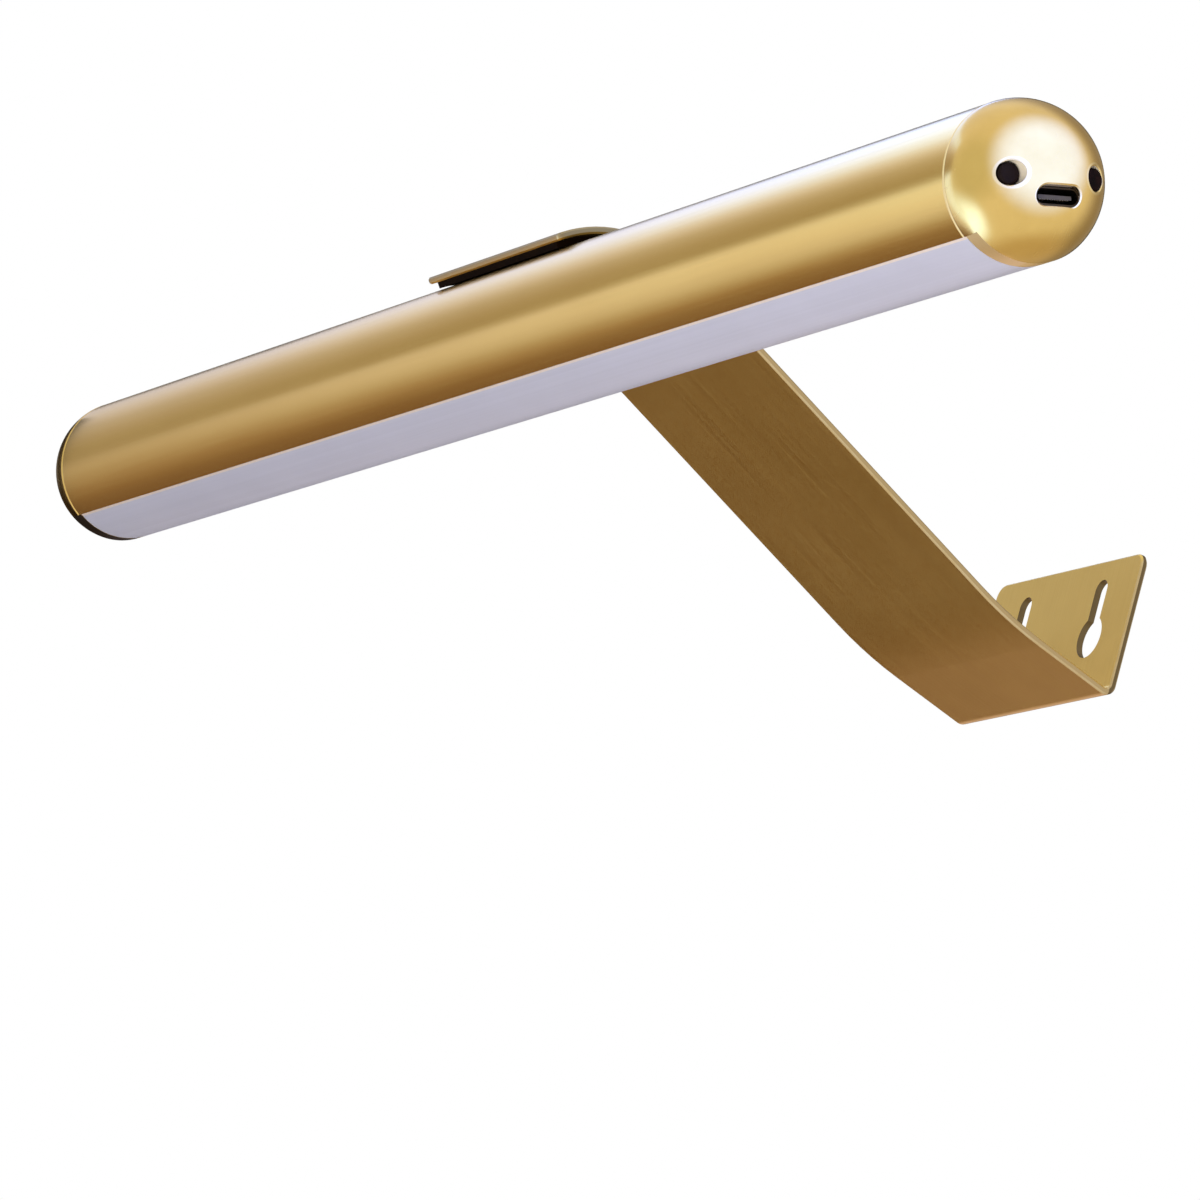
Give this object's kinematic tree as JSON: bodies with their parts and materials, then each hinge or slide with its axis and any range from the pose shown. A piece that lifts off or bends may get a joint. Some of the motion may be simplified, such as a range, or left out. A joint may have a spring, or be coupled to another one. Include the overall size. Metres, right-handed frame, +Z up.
{
  "type": "picture light",
  "caption": "Slim round rechargeable picture light bar on a bent strip wall bracket, with a milky diffuser underneath and a charging port in one domed end cap.",
  "frame": {"origin": "middle of the wall plate's back face, on the wall", "axes": "+Y into the wall, +X along the light bar towards the charging port, +Z up"},
  "size_m": [0.408, 0.1445, 0.0496],
  "materials": {
    "bracket_gold": "satin gold lacquer",
    "pad_rubber": "matt",
    "magnet": "nickel plated",
    "housing_gold": "brushed gold anodised",
    "milky_plastic": "milky, light diffusing",
    "cap_gold": "polished gold",
    "tray_metal": "plain",
    "board_white": "white solder mask",
    "led_package": "yellow phosphor",
    "plain_steel": "plain",
    "cell_wrap": "plastic sleeve",
    "cradle_plastic": "moulded",
    "wire_cover": "insulated",
    "board_green": "solder mask",
    "port_metal": "plated",
    "black_plastic": "moulded",
    "button_black": "moulded",
    "dark_window": "infrared passing"
  },
  "bodies": {
    "bracket": {"bracket_arm": "bracket_gold", "saddle_pad": "pad_rubber", "saddle_magnets": "magnet"},
    "light_bar": {"housing": "housing_gold", "diffuser": "milky_plastic", "end_cap_port": "cap_gold", "end_cap_plain": "cap_gold", "board_tray": "tray_metal", "led_board": "board_white", "leds": "led_package", "strike_plate": "plain_steel", "battery_cell_left": "cell_wrap", "battery_cell_right": "cell_wrap", "battery_cradle_left": "cradle_plastic", "battery_cradle_right": "cradle_plastic", "contact_plates": "plain_steel", "battery_wires": "wire_cover", "led_wires": "wire_cover", "control_board": "board_green", "board_screws": "plain_steel", "usb_port_shell": "port_metal", "usb_port_tongue": "black_plastic", "switch_body": "black_plastic", "sensor_window": "dark_window", "ir_receiver": "black_plastic"},
    "button": {"power_button": "button_black"}
  },
  "joints": [
    {"name": "bar_turn", "type": "hinge", "parent": "bracket", "child": "light_bar", "pos_m": [0, -0.1295, 0.0147], "axis": [1, 0, 0], "range_deg": [-45, 45]},
    {"name": "button_press", "type": "slide", "parent": "light_bar", "child": "button", "axis": [-1, 0, 0], "range_m": [0, 0.0005], "stiffness_N_per_m": 300, "springref_m": -0.0003}
  ]
}
